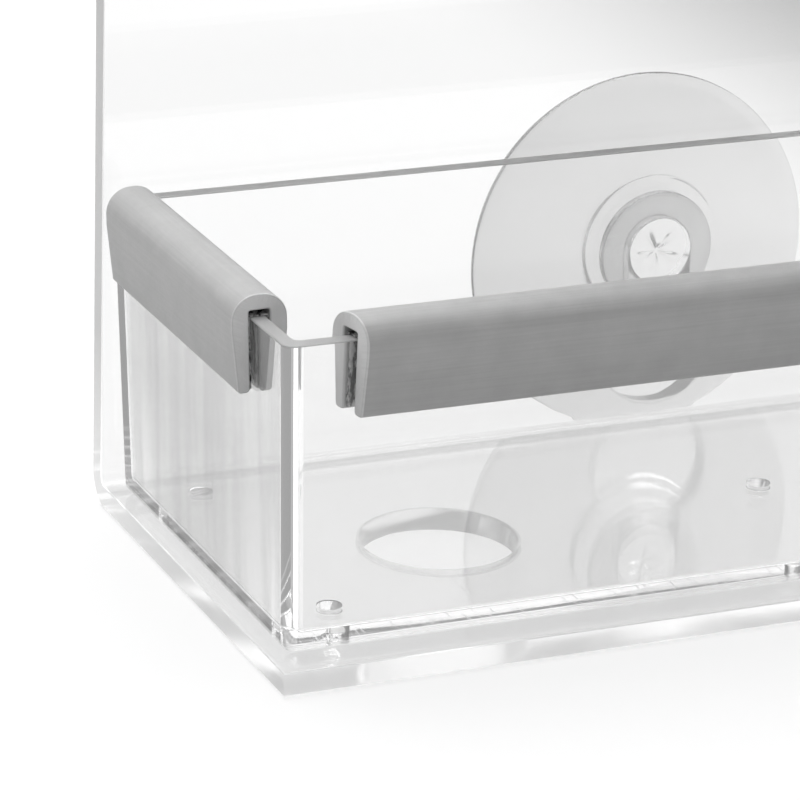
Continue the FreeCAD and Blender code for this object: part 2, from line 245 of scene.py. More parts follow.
# ---------------------------------------------------------------- housing: one bent sheet
def sheet_path():
    """Stations along the sheet's inner face: (distance, y, z, normal y, normal z).

    The distance runs along the middle of the sheet's thickness in the bends, and the normals point
    to the outer face.
    """
    centre_y, centre_z = PANEL_FRONT - BEND, PANEL_LEVEL
    stations = [(0.0, FLOOR_FRONT, GAUGE, 0.0, -1.0)]
    reach = centre_y - FLOOR_FRONT
    mean = BEND + GAUGE / 2
    for i in range(BEND_STEPS + 1):
        a = math.pi / 2 * i / BEND_STEPS
        ny, nz = math.sin(a), -math.cos(a)
        stations.append((reach + mean * a, centre_y + BEND * ny, centre_z + BEND * nz, ny, nz))
    along = reach + mean * math.pi / 2
    # roof bend: the roof's top starts at the virtual corner, and its tip fixes how long the roof is
    roof_length = (BACK - ROOF_TIP) / math.cos(ROOF_FALL)
    fold = GAUGE * (math.cos(ROOF_FALL) + (1 + math.sin(ROOF_FALL)) * math.tan(ROOF_FALL))
    half = math.tan((math.pi - ROOF_TURN) / 2)
    bend_z = TOP_CORNER - fold - BEND / half
    along += bend_z - centre_z
    for i in range(BEND_STEPS + 1):
        a = ROOF_TURN * i / BEND_STEPS
        ny, nz = math.cos(a), math.sin(a)
        stations.append((along + mean * a, centre_y + BEND * ny, bend_z + BEND * nz, ny, nz))
    along += mean * ROOF_TURN
    run = roof_length - (BEND + GAUGE) / half
    y0, z0 = stations[-1][1], stations[-1][2]
    stations.append((along + run, y0 - run * math.cos(ROOF_FALL), z0 - run * math.sin(ROOF_FALL), ny, nz))
    return stations


BEND_STEPS = 16
ROOF_TURN = math.pi / 2 + ROOF_FALL
PANEL_LEVEL = GAUGE + BEND       # where the panel leaves the lower bend
# the upper bend's crest is the model's highest point, which gives the virtual corner above it
TOP_CORNER = house_high.z + (BEND + GAUGE) * (1 / math.tan((math.pi - ROOF_TURN) / 2) - 1)
STATIONS = sheet_path()
LENGTH = STATIONS[-1][0]
PANEL_START = STATIONS[BEND_STEPS + 1][0]


def sheet_point(u, v, w):
    """Point of the bent sheet: u across, v along the sheet, w from its inner to its outer face."""
    if v <= 0.0:
        first = STATIONS[0]
        return (u, first[1] + v, first[2] - w)
    for a, b in zip(STATIONS, STATIONS[1:]):
        if v <= b[0] + 1e-6 or b is STATIONS[-1]:
            t = (v - a[0]) / (b[0] - a[0])
            y = a[1] + (b[1] - a[1]) * t
            z = a[2] + (b[2] - a[2]) * t
            ny = a[3] + (b[3] - a[3]) * t
            nz = a[4] + (b[4] - a[4]) * t
            scale = math.hypot(ny, nz)
            return (u, y + w * ny / scale, z + w * nz / scale)
    raise ValueError("off the sheet")


def sheet_outline(inset):
    """Outer edge of the unrolled sheet, counterclockwise, with a point at every bend station."""
    inner = [s[0] for s in STATIONS[1:-1]]
    half = HALF_WIDTH - inset
    right = [(half, inset)] + [(half, v) for v in inner] + [(half, LENGTH - inset)]
    left = [(-half, LENGTH - inset)] + [(-half, v) for v in reversed(inner)] + [(-half, inset)]
    return right + left


def keyhole(x, level):
    """Keyhole outline on the panel, clockwise; level is the cup's axis."""
    top = PANEL_START + level - PANEL_LEVEL
    low = top - SLOT_DROP

    def points(inset):
        r, half = KEYHOLE_RADIUS + inset, SLOT_HALF + inset
        join = math.asin(half / r)
        out = []
        for i in range(17):
            a = math.pi - math.pi * i / 16
            out.append((x + half * math.cos(a), top + half * math.sin(a)))
        count = 48
        for i in range(count + 1):
            a = math.pi / 2 - join - (2 * math.pi - 2 * join) * i / count
            out.append((x + r * math.cos(a), low + r * math.sin(a)))
        return out
    return points


def build_housing():
    holes = [circle(x, FINGER_SETBACK, FINGER_RADIUS, 72, FINGER_FLARE) for x in (-FINGER_X, FINGER_X)]
    holes += [keyhole(x, z) for x, z in CUPS.values()]
    inner = len(STATIONS) - 2
    bends = [(i, 2 * inner + 3 - i) for i in range(1, inner + 1)]
    return plate(sheet_outline, holes, bends, sheet_point, GAUGE, SHEET_EDGE)


# ---------------------------------------------------------------- seed tray
CORNER_STEPS = 8


def rounded(half_x, half_y, radius):
    """Counterclockwise rounded rectangle about the origin."""
    out = []
    for cx, cy, start in ((1, 1, 0.0), (-1, 1, 90.0), (-1, -1, 180.0), (1, -1, 270.0)):
        for i in range(CORNER_STEPS + 1):
            a = math.radians(start + 90.0 * i / CORNER_STEPS)
            out.append((cx * (half_x - radius) + radius * math.cos(a),
                        cy * (half_y - radius) + radius * math.sin(a)))
    return out


def build_tray():
    """Tray lofted from its underside's edge over the rim to its floor, then closed by two pierced floors."""
    lean = math.tan(DRAFT)
    edge = TRAY_RIM_EDGE
    rings = []       # (half x, half y, corner radius, z above the tray's underside)

    def outer(z, inset=0.0):
        back = (TRAY_HEIGHT - z) * lean + inset
        rings.append((RIM_HALF_X - back, RIM_HALF_Y - back, max(TRAY_CORNER - inset, 0.3), z))

    def inner(z, inset=0.0):
        back = (TRAY_HEIGHT - z) * lean + WALL + inset
        rings.append((RIM_HALF_X - back, RIM_HALF_Y - back, max(TRAY_INNER_CORNER - inset, 0.15), z))

    heights = (10.0, 20.0, 30.0)
    for i in range(7):
        a = math.pi / 2 * i / 6
        outer(TRAY_FOOT * (1 - math.cos(a)), TRAY_FOOT * (1 - math.sin(a)))
    for z in heights:
        outer(z)
    for i in range(4):
        a = math.pi / 2 * i / 3
        outer(TRAY_HEIGHT - edge + edge * math.sin(a), edge * (1 - math.cos(a)))
    for i in range(4):
        a = math.pi / 2 * i / 3
        inner(TRAY_HEIGHT - edge + edge * math.cos(a), -edge * (1 - math.sin(a)))
    for z in reversed(heights):
        inner(z)
    for i in range(6):
        a = math.pi / 2 * i / 5
        inner(TRAY_FLOOR + TRAY_INNER_CORNER * (1 - math.sin(a)), TRAY_INNER_CORNER * (1 - math.cos(a)))

    verts, faces, slots = [], [], []
    starts = []
    for half_x, half_y, radius, z in rings:
        starts.append(len(verts))
        verts += [(x, y, z) for x, y in rounded(half_x, half_y, radius)]
    size = starts[1]
    for row in range(len(rings) - 1):
        for i in range(size):
            j = (i + 1) % size
            a, b = starts[row], starts[row + 1]
            faces.append([a + i, a + j, b + j, b + i])
            if row in range(10, 17):
                slots.append(1)      # rim
            elif row < 6 or row > 20:
                slots.append(3)      # rounded foot, outside or inside
            else:
                # upright corner or plain wall
                slots.append(4 if i % (CORNER_STEPS + 1) < CORNER_STEPS else 2)

    # floor: both faces triangulated round the drain holes
    drains = [(0.0, 0.0)]
    for sx in (-1, 1):
        for sy in (-1, 1):
            drains.append((sx * (RIM_HALF_X - DRAIN_INSET), sy * (RIM_HALF_Y - DRAIN_INSET)))
    bevel = DRAIN_EDGE
    hole_points = [circle(x, y, DRAIN_RADIUS, 28) for x, y in drains]

    def face(ring_start, ring, up):
        points = [Vector(p[:2]) for p in verts[ring_start:ring_start + size]]
        edges = [(i, (i + 1) % size) for i in range(size)]
        ids = [ring_start + i for i in range(size)]
        z = ring[3]
        base = []
        for hole in hole_points:
            start = len(points)
            loop = hole(bevel)
            points += [Vector(p) for p in loop]
            edges += [(start + i, start + (i + 1) % len(loop)) for i in range(len(loop))]
            base.append(len(verts))
            ids += [len(verts) + i for i in range(len(loop))]
            verts.extend([(x, y, z) for x, y in loop])
        found = delaunay_2d_cdt(points, edges, [], 0, 1e-7)
        source = [min(s) for s in found[3]]
        for tri in found[2]:
            tri = [source[i] for i in tri]
            centre = sum((points[i] for i in tri), Vector((0.0, 0.0))) / 3
            if any(inside(centre, hole(bevel)) for hole in hole_points):
                continue
            area = (points[tri[1]] - points[tri[0]]).cross(points[tri[2]] - points[tri[0]])
            if abs(area) < 1e-9:
                continue
            if (area > 0) != up:
                tri = tri[::-1]
            faces.append([ids[i] for i in tri])
            slots.append(0)
        return base

    low = face(starts[0], rings[0], False)
    high = face(starts[-1], rings[-1], True)
    for hole, first, last in zip(hole_points, low, high):
        count = len(hole(0.0))
        row = first
        for inset, depth in [(bevel * 0.3, bevel * 0.3), (0.0, bevel), (0.0, TRAY_FLOOR - bevel),
                             (bevel * 0.3, TRAY_FLOOR - bevel * 0.3), (None, None)]:
            following = last if inset is None else len(verts)
            if inset is not None:
                verts.extend([(x, y, depth) for x, y in hole(inset)])
            for i in range(count):
                j = (i + 1) % count
                faces.append([row + i, row + j, following + j, following + i][::-1])
                slots.append(0)
            row = following
    verts = [(x, y + TRAY_MIDDLE, z + TRAY_BASE) for x, y, z in verts]
    return verts, faces, slots


# ---------------------------------------------------------------- rubber perches
def arc(cx, cz, radius, start, end, count):
    return [(cx + radius * math.cos(math.radians(start + (end - start) * i / count)),
             cz + radius * math.sin(math.radians(start + (end - start) * i / count)))
            for i in range(count + 1)]


def trim_section():
    """Channel section (across, up) about the rim's middle, counterclockwise, from the outer foot."""
    top, foot = TRIM_TOP, TRIM_TOP - TRIM_HEIGHT
    shoulder = top - TRIM_SHOULDER
    toe, slot_round = 0.5, 0.22
    right = []
    right += arc(TRIM_SLOT + toe, foot + toe, toe, 180, 270, 5)
    lean = (TRIM_HALF - TRIM_FOOT_HALF) / (shoulder - foot)
    right += arc(TRIM_FOOT_HALF + toe * lean - toe, foot + toe, toe, 270, 360, 6)
    for i in range(1, 5):
        z = foot + toe + (shoulder - foot - toe) * i / 5
        right.append((TRIM_FOOT_HALF + (z - foot) * lean, z))
    right.append((TRIM_HALF, shoulder))
    right += arc(TRIM_HALF - TRIM_ROUND, top - TRIM_ROUND, TRIM_ROUND, 0, 90, 16)
    left = [(-x, z) for x, z in reversed(right)]
    slot = arc(-TRIM_SLOT + slot_round, RIM_VOID - slot_round, slot_round, 180, 90, 3)
    slot += arc(TRIM_SLOT - slot_round, RIM_VOID - slot_round, slot_round, 90, 0, 3)
    return right + left + slot


def inset_section(points, width):
    """Section moved inwards along each corner's bisector."""
    count = len(points)
    out = []
    for i in range(count):
        before, here, after = (Vector(points[j % count]) for j in (i - 1, i, i + 1))
        a = (here - before).normalized()
        b = (after - here).normalized()
        normal = Vector((-a.y, a.x)) + Vector((-b.y, b.x))
        if normal.length > 1e-6:
            normal = normal.normalized()
            scale = 1.0 / max(0.5, normal.dot(Vector((-b.y, b.x))))
        else:
            scale = 0.0
        out.append(tuple(here + normal * width * scale))
    return out


def build_strip(length, skew, seed):
    """Extruded channel along X. skew is how much further the inner side runs at each end."""
    section = trim_section()
    bevel = TRIM_EDGE
    stations = [(-length / 2, bevel), (-length / 2 + 0.06, 0.06), (-length / 2 + bevel, 0.0)]
    rows = max(2, int(length / 3.0))
    for i in range(1, rows):
        stations.append((-length / 2 + bevel + (length - 2 * bevel) * i / rows, 0.0))
    stations += [(length / 2 - bevel, 0.0), (length / 2 - 0.06, 0.06), (length / 2, bevel)]
    verts, faces, slots, uv = [], [], [], []
    size = len(section)
    around = [0.0]
    for a, b in zip(section, section[1:]):
        around.append(around[-1] + math.dist(a, b))
    for x, inset in stations:
        ring = inset_section(section, inset) if inset else section
        share = x / length + 0.5
        for (y, z), travelled in zip(ring, around):
            side = (y + TRIM_HALF) / (2 * TRIM_HALF)
            pull = skew * side * (share ** 8 - (1 - share) ** 8)
            drift = 0.035 * noise.noise(Vector((x * 0.05, seed, 0.0)))
            lift = 0.035 * noise.noise(Vector((x * 0.06, seed, 7.0)))
            verts.append((x + pull, y + drift, z + lift))
            uv.append((x, travelled))
    for row in range(len(stations) - 1):
        for i in range(size):
            j = (i + 1) % size
            a, b = row * size, (row + 1) * size
            faces.append([a + i, a + j, b + j, b + i])
            slots.append(1 if row in (0, 1, len(stations) - 3, len(stations) - 2) else 0)
    faces.append(list(range(size)))
    slots.append(2)
    last = (len(stations) - 1) * size
    faces.append([last + i for i in range(size)][::-1])
    slots.append(2)
    return verts, faces, slots, uv


def trim_frame(name):
    """Matrix from a perch's own axes to the frame, in millimetres."""
    if name == "front":
        spot, yaw = (0.0, RIM_FRONT + WALL / 2, RIM), 0.0
    elif name == "left":
        spot, yaw = (-(RIM_HALF_X - WALL / 2), SIDE_MIDDLE, RIM), -90.0
    else:
        spot, yaw = (RIM_HALF_X - WALL / 2, SIDE_MIDDLE, RIM), 90.0
    turn = Matrix.Rotation(math.radians(yaw), 4, "Z") @ Matrix.Rotation(DRAFT, 4, "X")
    return Matrix.Translation(spot) @ turn


def moved(verts, matrix):
    return [tuple(matrix @ Vector(v)) for v in verts]


# ---------------------------------------------------------------- suction cup
def cup_profile():
    """Half section (radius, depth), from the middle of the head round to the middle of the window side."""
    head = -(GAUGE + CUP_PLAY + HEAD_THICKNESS)
    back = -(GAUGE + CUP_PLAY)
    neck = SLOT_HALF - 0.1
    rim = KEYHOLE_RADIUS - 0.2
    boss = BOSS_RADIUS
    reach = CUP_REACH
    points = [(0.0, head + 0.55), (0.5, head + 0.5), (0.9, head + 0.28), (1.25, head + 0.12),
              (1.8, head + 0.05), (2.6, head + 0.02), (3.6, head + 0.03), (4.3, head + 0.1),
              (4.9, head + 0.13), (5.6, head + 0.06), (6.6, head), (rim - 0.6, head + 0.04)]
    points += [(rim - 0.5 + 0.5 * math.sin(math.radians(a)), head + 0.54 - 0.5 * math.cos(math.radians(a)))
               for a in (25, 50, 75, 90)]
    points += [(rim, back - 0.35), (rim - 0.1, back - 0.1), (rim - 0.35, back)]
    points += [(6.4, back), (neck + 0.5, back), (neck + 0.12, back + 0.12), (neck, back + 0.5)]
    points += [(neck, -1.5), (neck, -0.2), (neck + 0.1, 0.13), (neck + 0.4, CUP_PLAY)]
    points += [(7.0, CUP_PLAY), (boss - 0.4, CUP_PLAY), (boss - 0.1, 0.34), (boss, 0.6), (boss, 1.0),
               (boss + 0.12, 1.32), (boss + 0.5, 1.55)]
    for i in range(1, 12):
        t = i / 11
        r = boss + 0.5 + (CUP_RADIUS - 0.5 - boss - 0.5) * t
        points.append((r, 1.55 + (reach - 1.2 - 1.55) * (t ** 1.15)))
    points += [(CUP_RADIUS - 0.14, reach - 1.0), (CUP_RADIUS, reach - 0.65), (CUP_RADIUS, reach - 0.3),
               (CUP_RADIUS - 0.12, reach - 0.06), (CUP_RADIUS - 0.4, reach)]
    points += [(CUP_RADIUS - 1.3, reach), (CUP_RADIUS - 1.6, reach - 0.03)]
    for i in range(1, 14):
        t = i / 13
        r = CUP_RADIUS - 1.6 - (CUP_RADIUS - 1.6 - 9.0) * t
        points.append((r, 3.45 + (reach - 0.03 - 3.45) * ((1 - t) ** 1.25)))
    points += [(6.0, 3.43), (3.0, 3.45), (1.2, 3.45), (0.0, 3.45)]
    return points


def build_cup(x, level, turn):
    """Lathed cup; the middle of its head carries the small star that the moulding gate leaves."""
    profile = cup_profile()
    count = 128
    verts, faces = [], []
    rows = []
    for radius, depth in profile:
        if radius < 1e-6:
            rows.append([len(verts)])
            verts.append((0.0, depth, 0.0))
            continue
        ring = []
        for i in range(count):
            a = 2 * math.pi * i / count
            star = 0.0
            if radius < 3.7 and depth < -4.0:
                star = 0.6 * math.exp(-((radius - 1.7) / 1.2) ** 2) * max(0.0, math.cos(5 * a + turn)) ** 1.5
            ring.append(len(verts))
            verts.append((radius * math.sin(a), depth + star, radius * math.cos(a)))
        rows.append(ring)
    for a, b in zip(rows, rows[1:]):
        for i in range(count):
            j = (i + 1) % count
            if len(a) == 1:
                faces.append([a[0], b[i], b[j]])
            elif len(b) == 1:
                faces.append([a[i], b[0], a[j]])
            else:
                faces.append([a[i], b[i], b[j], a[j]])
    # the soft disc sags behind the panel, and the head shifts sideways and a little up in front of it
    hung = []
    for vx, vy, vz in verts:
        behind = min(1.0, max(0.0, (vy - 0.3) / 2.5))
        ahead = min(1.0, max(0.0, (-GAUGE - 0.1 - vy) / 0.4))
        fall = behind * behind * (3 - 2 * behind)
        hung.append((x + vx - CUP_LEAN * ahead, BACK + vy,
                     level + vz - CUP_SAG * fall + 0.4 * CUP_LEAN * ahead))
    return hung, faces


# ---------------------------------------------------------------- adhesive
def build_glue(length, skew, seed):
    """Wrinkled film over the wall, inside the slot, a little ragged at its ends."""
    inner, outer = WALL / 2 + 0.04, WALL / 2 + 0.26
    foot = TRIM_TOP - TRIM_HEIGHT + 0.4
    under, over = 0.06, 0.28         # the film's two sides above the rim
    loop = []
    for y, start, end in ((-outer, foot, over), (outer, over, foot),
                          (inner, foot, under), (-inner, under, foot)):
        loop += [(y, start + (end - start) * i / 14) for i in range(15)]
    size = len(loop)
    rows = int(length / 0.8)
    verts, faces = [], []
    for row in range(rows + 1):
        x = length * (row / rows - 0.5)
        share = row / rows
        for y, z in loop:
            side = 1.0 if y > 0 else -1.0
            ripple = noise.noise(Vector((x * 0.9, z * 0.8, seed + side * 5.0)))
            run = noise.noise(Vector((z * 0.7, seed, side * 3.0))) * 0.35
            reach = 0.0
            if row == 0:
                reach = -abs(run) - 0.05
            if row == rows:
                reach = abs(run) + 0.05
            shift = 0.0 if abs(y) < inner + 0.01 else 0.035 * ripple
            slant = skew * (y + TRIM_HALF) / (2 * TRIM_HALF) * (share ** 8 - (1 - share) ** 8)
            verts.append((x + reach + slant, y + shift * side, z))
    for row in range(rows):
        a, b = row * size, (row + 1) * size
        for i in range(size):
            j = (i + 1) % size
            faces.append([a + i, a + j, b + j, b + i])
    for row, flip in ((0, False), (rows, True)):
        base = row * size
        for i in range(size // 2 - 1):
            quad = [base + i, base + i + 1, base + size - 2 - i, base + size - 1 - i]
            faces.append(quad[::-1] if not flip else quad)
    return verts, faces


# ---------------------------------------------------------------- materials
class Nodes:
    """A material's node tree, with short ways to add and join nodes."""

    def __init__(self, name):
        self.material = bpy.data.materials.new(name)
        self.material.use_nodes = True
        self.tree = self.material.node_tree
        self.shader = self.tree.nodes["Principled BSDF"]

    def add(self, kind, **values):
        node = self.tree.nodes.new(kind)
        for key, value in values.items():
            if hasattr(node, key):
                setattr(node, key, value)
            else:
                node.inputs[key.replace("_", " ")].default_value = value
        return node

    def join(self, source, output, target, inlet):
        self.tree.links.new(source.outputs[output], target.inputs[inlet])

    def set(self, **values):
        for key, value in values.items():
            self.shader.inputs[key.replace("_", " ")].default_value = value

    def place(self, scale=(1.0, 1.0, 1.0), surface=False):
        """Coordinates in millimetres: the mesh's own, or its surface map."""
        coords = self.add("ShaderNodeTexCoord")
        mapping = self.add("ShaderNodeMapping")
        factor = 1.0 if surface else 1.0 / MM
        mapping.inputs["Scale"].default_value = [s * factor for s in scale]
        self.join(coords, "UV" if surface else "Object", mapping, "Vector")
        return mapping

    def noise(self, mapping, scale, detail, rough=0.5):
        node = self.add("ShaderNodeTexNoise", Scale=scale, Detail=detail, Roughness=rough)
        self.join(mapping, "Vector", node, "Vector")
        return node

    def split(self, mapping):
        node = self.add("ShaderNodeSeparateXYZ")
        self.join(mapping, "Vector", node, "Vector")
        return node

    def product(self, first, first_output, second, second_output):
        node = self.add("ShaderNodeMath", operation="MULTIPLY")
        self.join(first, first_output, node, 0)
        self.join(second, second_output, node, 1)
        return node

    def ramp(self, source, output, low, high, out_low, out_high):
        node = self.add("ShaderNodeMapRange")
        for inlet, value in zip(("From Min", "From Max", "To Min", "To Max"), (low, high, out_low, out_high)):
            node.inputs[inlet].default_value = value
        self.join(source, output, node, "Value")
        return node

    def blend(self, source, output, dark, light):
        node = self.add("ShaderNodeMix", data_type="RGBA")
        self.join(source, output, node, 0)
        node.inputs[6].default_value = dark
        node.inputs[7].default_value = light
        return node

    def paint(self, tint):
        self.join(tint, 2, self.shader, "Base Color")

    def gloss(self, cloud, low, high, out_low, out_high):
        self.join(self.ramp(cloud, "Fac", low, high, out_low, out_high), "Result", self.shader, "Roughness")

    def bump(self, source, output, strength, distance):
        node = self.add("ShaderNodeBump", Strength=strength, Distance=distance)
        self.join(source, output, node, "Height")
        self.join(node, "Normal", self.shader, "Normal")


SHEET_PAINTED_GLOW, TRAY_PAINTED_GLOW = 0.01, 0.02     # painted glow on the clear plastic, standing in for light it scatters at its surface
TRIM_FEET = RIM + TRIM_TOP - TRIM_HEIGHT     # lowest level of the perches


def grey(value):
    return (value, value, value, 1.0)


def clear_sheet(name, tone, smear, scratch, painted_glow):
    """Polished plastic: faint smears in the gloss, hairline scratches, and a faint painted glow that stands
    in for light scattered at its surface.
    """
    n = Nodes(name)
    n.set(Base_Color=grey(tone), IOR=1.49, Transmission_Weight=1.0)
    # painted glow: emission that stands in for light the plastic scatters
    n.set(Emission_Color=grey(1.0), Emission_Strength=painted_glow)
    space = n.place()
    cloud = n.noise(space, 0.045, 3.0)
    n.gloss(cloud, 0.45, 0.75, 0.0, smear)
    streaks = n.place(scale=(1.0, 0.06, 1.0))
    line = n.noise(streaks, 1.7, 2.0)
    height = n.ramp(line, "Fac", 0.66, 0.72, 0.0, 1.0)
    n.bump(height, "Result", scratch, 0.00002)
    return n.material


def graze(n, face_tone, edge_tone):
    """Darker tint where the surface is seen at a shallow angle, as through a longer way in the plastic, and
    deepened into painted shade for the dark reflections and shadows seen there.
    """
    weight = n.add("ShaderNodeLayerWeight")
    weight.inputs["Blend"].default_value = 0.5
    share = n.ramp(weight, "Facing", 0.15, 0.75, 0.0, 1.0)
    tint = n.blend(share, "Result", grey(face_tone), grey(edge_tone))
    n.paint(tint)
    return tint


def tray_wall(name, face_tone, edge_tone):
    """Moulded wall: clear face on, greyer at a shallow angle and in the middle, with upright streaks; the
    grey is painted shade, lighter towards the foot and the ends.
    """
    n = Nodes(name)
    n.set(IOR=1.49, Transmission_Weight=1.0, Emission_Color=grey(1.0), Emission_Strength=TRAY_PAINTED_GLOW)
    tint = graze(n, face_tone, edge_tone)
    streak = n.noise(n.place(scale=(0.22, 0.22, 0.012)), 1.0, 3.0)
    level = n.ramp(streak, "Fac", 0.35, 0.65, edge_tone * 0.75, min(1.0, edge_tone * 1.4))
    # painted shade: the grey seen at a shallow angle is darkest mid-length and higher up, lighter towards the
    # front, back and foot
    split = n.split(n.place())
    away = n.add("ShaderNodeMath", operation="ABSOLUTE")
    n.join(split, "Y", away, 0)
    ends = n.ramp(away, "Value", 0.3 * RIM_HALF_Y, 0.95 * RIM_HALF_Y, 0.75, 1.6)
    low = n.ramp(split, "Z", TRAY_BASE, TRAY_BASE + TRAY_HEIGHT / 2, 1.9, 1.0)
    spread = n.product(ends, "Result", low, "Result")
    shade = n.product(level, "Result", spread, "Value")
    paint = n.add("ShaderNodeCombineColor")
    for inlet in ("Red", "Green", "Blue"):
        n.join(shade, "Value", paint, inlet)
    n.join(paint, "Color", tint, 7)
    cloud = n.noise(n.place(), 0.06, 3.0)
    n.gloss(cloud, 0.4, 0.75, 0.0, 0.03)
    ripple = n.noise(n.place(scale=(1.0, 1.0, 0.15)), 0.12, 2.0)
    n.bump(ripple, "Fac", 0.12, 0.0002)
    return n.material


def sawn_edge(name, tone, rough, haze, glow, high_glow=None):
    """Cut or rounded edge: fine lines across it and a slight frost. haze is the share of light let through.

    glow is a painted glow, standing in for the light that the plastic pipes to the edge. With high_glow, it
    fades from glow near the table to that.
    """
    n = Nodes(name)
    n.set(Base_Color=grey(tone), IOR=1.49, Transmission_Weight=haze)
    # painted glow on the edge
    n.set(Emission_Color=grey(1.0), Emission_Strength=glow)
    space = n.place()
    if high_glow is not None:
        fade = n.ramp(n.split(space), "Z", GAUGE, 8 * GAUGE, glow, high_glow)
        n.join(fade, "Result", n.shader, "Emission Strength")
    cloud = n.noise(space, 0.12, 3.0)
    n.gloss(cloud, 0.3, 0.7, rough * 0.7, rough * 1.3)
    lines = n.noise(n.place(scale=(0.6, 0.6, 6.0)), 1.0, 2.0)
    n.bump(lines, "Fac", 0.05, 0.00002)
    return n.material


def rubber(name, tone, rough, lines):
    """Extruded rubber: die lines along its length, a dusty mottle and a soft sheen."""
    n = Nodes(name)
    space = n.place()
    cloud = n.noise(space, 0.25, 6.0, 0.6)
    shade = n.ramp(cloud, "Fac", 0.3, 0.7, 0.0, 1.0)
    mottle = n.blend(shade, "Result", grey(tone * 0.94), grey(tone * 1.04))
    # painted shade: a little darker towards the feet, as the light falls from above
    level = n.ramp(n.split(space), "Z", TRIM_FEET, RIM + TRIM_TOP, 0.8, 1.02)
    die = n.noise(n.place(scale=(0.012, 1.0, 1.0), surface=True), 3.2, 4.0, 0.65)
    line = n.ramp(die, "Fac", 0.35, 0.65, 0.96, 1.04)
    both = n.product(level, "Result", line, "Result")
    tint = n.add("ShaderNodeVectorMath", operation="SCALE")
    n.join(mottle, 2, tint, 0)
    n.join(both, "Value", tint, "Scale")
    n.join(tint, "Vector", n.shader, "Base Color")
    speck = n.noise(space, 2.6, 5.0, 0.7)
    n.gloss(speck, 0.3, 0.7, rough - 0.07, rough + 0.07)
    n.set(IOR=1.48)
    mix = n.add("ShaderNodeMath", operation="MULTIPLY_ADD")
    n.join(speck, "Fac", mix, 0)
    mix.inputs[1].default_value = 0.25
    n.join(die, "Fac", mix, 2)
    n.bump(mix, "Value", lines, 0.00006)
    return n.material


def soft_vinyl(name):
    """Soft clear vinyl: cloudy gloss and a slightly wavy surface, with painted shade that darkens it towards
    the left and a faint painted glow.
    """
    n = Nodes(name)
    n.set(IOR=1.5, Transmission_Weight=1.0, Emission_Color=grey(1.0), Emission_Strength=0.01)
    space = n.place()
    # painted shade: darker on the cup's left, lighter on its right
    side = n.ramp(n.split(space), "X", -CUP_RADIUS, CUP_RADIUS, 0.0, 1.0)
    tint = n.blend(side, "Result", grey(0.66), grey(0.82))
    n.paint(tint)
    cloud = n.noise(space, 0.12, 4.0)
    n.gloss(cloud, 0.35, 0.7, 0.1, 0.2)
    n.bump(n.noise(space, 0.2, 3.0), "Fac", 0.25, 0.0002)
    return n.material


def adhesive(name):
    """Clear adhesive film, wrinkled where it was pressed in, with painted highlights and painted shade along
    its wrinkles.
    """
    n = Nodes(name)
    n.set(IOR=1.47, Transmission_Weight=0.3)
    space = n.place(scale=(1.0, 1.0, 0.3))
    wrinkle = n.noise(space, 1.6, 5.0, 0.6)
    # painted highlights and shade: the wrinkles are painted near black and near white
    wrinkle_painted_light = n.ramp(wrinkle, "Fac", 0.44, 0.54, 0.0, 1.0)
    tint = n.blend(wrinkle_painted_light, "Result", grey(0.06), grey(0.95))
    n.paint(tint)
    n.gloss(wrinkle, 0.3, 0.7, 0.05, 0.25)
    n.bump(wrinkle, "Fac", 0.9, 0.0004)
    return n.material


# ---------------------------------------------------------------- the pieces
sheet_clear = clear_sheet("clear_sheet_polished", tone=0.87, smear=0.02, scratch=0.1, painted_glow=SHEET_PAINTED_GLOW)
# the glow values below are painted glow on the sheet's edges and bores and on the tray's foot and corners
sheet_edge = sawn_edge("clear_sheet_edge", tone=0.95, rough=0.16, haze=0.6, glow=0.28, high_glow=0.06)
sheet_bore = sawn_edge("clear_sheet_bore", tone=0.5, rough=0.15, haze=0.8, glow=0.12)
tray_clear = clear_sheet("clear_tray_polished", tone=0.965, smear=0.03, scratch=0.18, painted_glow=TRAY_PAINTED_GLOW)
tray_rim = sawn_edge("clear_tray_rim", tone=0.48, rough=0.4, haze=0.35, glow=0.0)
tray_foot = sawn_edge("clear_tray_foot", tone=0.7, rough=0.1, haze=1.0, glow=0.13)
tray_upright = sawn_edge("clear_tray_upright", tone=0.88, rough=0.02, haze=1.0, glow=0.15)
tray_side = tray_wall("clear_tray_wall", face_tone=0.94, edge_tone=0.27)
rubber_side = rubber("grey_rubber_skin", tone=0.42, rough=0.42, lines=0.5)
# lighter copies of the same rubber: a painted highlight on the rounded cut edges, and painted light on the
# cut end faces
rubber_rim_highlight = rubber("grey_rubber_edge_painted_highlight", tone=0.62, rough=0.35, lines=0.1)
rubber_cut = rubber("grey_rubber_cut_painted_light", tone=0.75, rough=0.55, lines=0.05)
vinyl = soft_vinyl("clear_soft_vinyl_cup")
film = adhesive("clear_adhesive_film")


def add(name, node, body, built, materials):
    """One visible piece; built is what make_object takes after the name."""
    piece = make_object(name, *built)
    give(piece, *materials)
    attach(piece, body)
    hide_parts(node)


add("housing_sheet", "housing", "housing", build_housing(),
    (sheet_clear, sheet_edge, sheet_bore))
add("seed_tray_moulding", "seed_tray", "tray", build_tray(),
    (tray_clear, tray_rim, tray_side, tray_foot, tray_upright))

